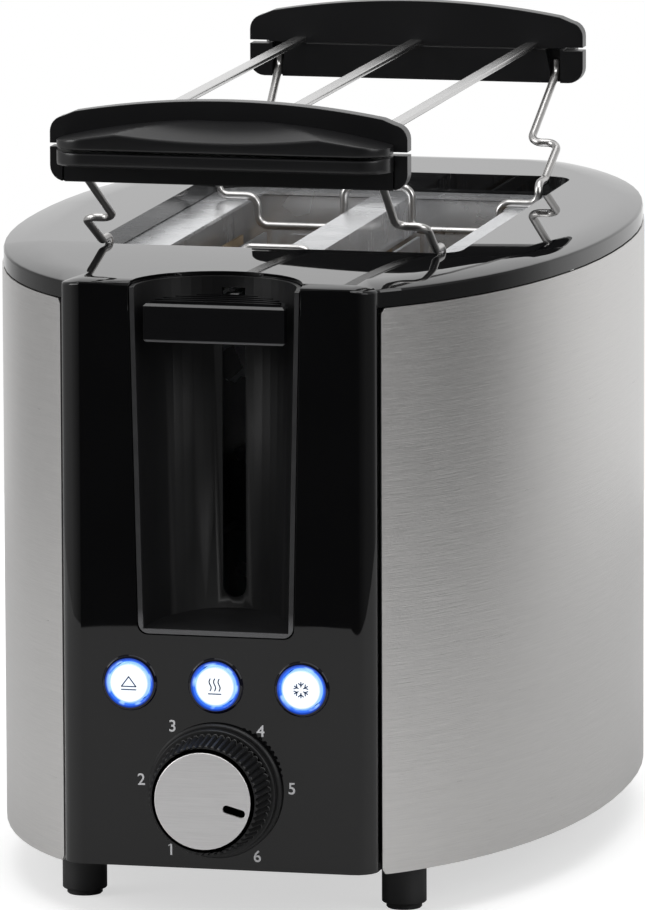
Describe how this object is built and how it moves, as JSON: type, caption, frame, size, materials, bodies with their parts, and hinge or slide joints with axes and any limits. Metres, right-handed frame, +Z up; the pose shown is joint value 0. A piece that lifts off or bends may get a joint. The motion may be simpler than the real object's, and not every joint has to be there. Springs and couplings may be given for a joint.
{
  "type": "two-slice toaster",
  "caption": "Oval-plan two-slice toaster: gloss black lid and front, brushed steel sides, lever in a deep channel, lit buttons, browning dial and lift-off warming rack.",
  "frame": {"origin": "middle of the overall length and width, on the plane the feet stand on", "axes": "+Z up, the front panel with lever and dial faces -Y, +X to the viewer's right"},
  "size_m": [0.1768, 0.3012, 0.2321],
  "materials": {
    "gloss_black": "gloss",
    "matte_black": "matte",
    "brushed_steel": "brushed",
    "chrome": "satin",
    "zinc": "satin",
    "rubber": "matte",
    "mica": "matte",
    "white": "satin",
    "light_blue": "satin",
    "board_green": "matte",
    "dark_iron": "matte"
  },
  "bodies": {
    "body": {"housing": "gloss_black", "lever_channel": "matte_black", "side_panel_left": "brushed_steel", "side_panel_right": "brushed_steel", "base_plate": "matte_black", "foot_front_left": "rubber", "foot_front_right": "rubber", "foot_rear_left": "rubber", "foot_rear_right": "rubber", "chamber_front_plate": "zinc", "chamber_rear_plate": "zinc", "chamber_top_flange": "zinc", "slot_divider": "zinc", "reflector_left": "zinc", "reflector_right": "zinc", "heater_left": "mica", "heater_middle": "mica", "heater_right": "mica", "guide_rod_left": "chrome", "guide_rod_right": "chrome", "holding_magnet": "dark_iron", "control_board": "board_green", "dial_control": "dark_iron", "button_ring_eject": "light_blue", "button_ring_reheat": "light_blue", "button_ring_defrost": "light_blue", "dial_bezel": "gloss_black", "mains_gland": "rubber", "return_spring": "chrome"},
    "carriage": {"carriage_bracket": "zinc", "bread_lifter_left": "zinc", "bread_lifter_right": "zinc", "lever_arm": "zinc", "lever_knob": "gloss_black", "armature_plate": "dark_iron"},
    "eject": {"button_eject": "white"},
    "reheat": {"button_reheat": "white"},
    "defrost": {"button_defrost": "white"},
    "dial": {"dial_knob": "matte_black", "dial_cap": "brushed_steel", "dial_shaft": "chrome"},
    "tray": {"crumb_tray": "zinc"},
    "rack": {"rack_handle_front_upper": "matte_black", "rack_handle_front_lower": "matte_black", "rack_handle_rear_upper": "matte_black", "rack_handle_rear_lower": "matte_black", "rack_strip_left": "chrome", "rack_strip_middle": "chrome", "rack_strip_right": "chrome", "rack_wire_front": "chrome", "rack_wire_rear": "chrome"},
    "guide_left_outer": {"bread_guide_left_outer": "zinc"},
    "guide_left_inner": {"bread_guide_left_inner": "zinc"},
    "guide_right_inner": {"bread_guide_right_inner": "zinc"},
    "guide_right_outer": {"bread_guide_right_outer": "zinc"}
  },
  "joints": [
    {"name": "lever_slide", "type": "slide", "parent": "body", "child": "carriage", "axis": [0, 0, -1], "range_m": [0, 0.075], "stiffness_N_per_m": 60, "springref_m": -0.06, "deforming": ["return_spring"]},
    {"name": "eject_press", "type": "slide", "parent": "body", "child": "eject", "axis": [0, 1, 0], "range_m": [0, 0.0025], "stiffness_N_per_m": 400, "springref_m": -0.001},
    {"name": "reheat_press", "type": "slide", "parent": "body", "child": "reheat", "axis": [0, 1, 0], "range_m": [0, 0.0025], "stiffness_N_per_m": 400, "springref_m": -0.001},
    {"name": "defrost_press", "type": "slide", "parent": "body", "child": "defrost", "axis": [0, 1, 0], "range_m": [0, 0.0025], "stiffness_N_per_m": 400, "springref_m": -0.001},
    {"name": "dial_turn", "type": "hinge", "parent": "body", "child": "dial", "pos_m": [0, -0.1337, 0.0382], "axis": [0, -1, 0], "range_deg": [-42, 248]},
    {"name": "tray_slide", "type": "slide", "parent": "body", "child": "tray", "axis": [0, 1, 0], "range_m": [0, 0.12]},
    {"name": "rack_lift", "type": "slide", "parent": "body", "child": "rack", "axis": [0, 0, 1], "range_m": [0, 0.08]},
    {"name": "guide_left_outer_lean", "type": "hinge", "parent": "body", "child": "guide_left_outer", "pos_m": [-0.0388, 0.0066, 0.038], "axis": [0, 1, 0], "range_deg": [0, 4.02]},
    {"name": "guide_left_inner_lean", "type": "hinge", "parent": "body", "child": "guide_left_inner", "pos_m": [-0.0086, 0.0066, 0.038], "axis": [0, -1, 0], "range_deg": [0, 4.02]},
    {"name": "guide_right_inner_lean", "type": "hinge", "parent": "body", "child": "guide_right_inner", "pos_m": [0.0086, 0.0066, 0.038], "axis": [0, 1, 0], "range_deg": [0, 4.02]},
    {"name": "guide_right_outer_lean", "type": "hinge", "parent": "body", "child": "guide_right_outer", "pos_m": [0.0388, 0.0066, 0.038], "axis": [0, -1, 0], "range_deg": [0, 4.02]}
  ],
  "couplings": [
    {"joint": "guide_left_outer_lean", "follows": "lever_slide", "rad_per_m": 0.93},
    {"joint": "guide_left_inner_lean", "follows": "lever_slide", "rad_per_m": 0.93},
    {"joint": "guide_right_inner_lean", "follows": "lever_slide", "rad_per_m": 0.93},
    {"joint": "guide_right_outer_lean", "follows": "lever_slide", "rad_per_m": 0.93}
  ]
}
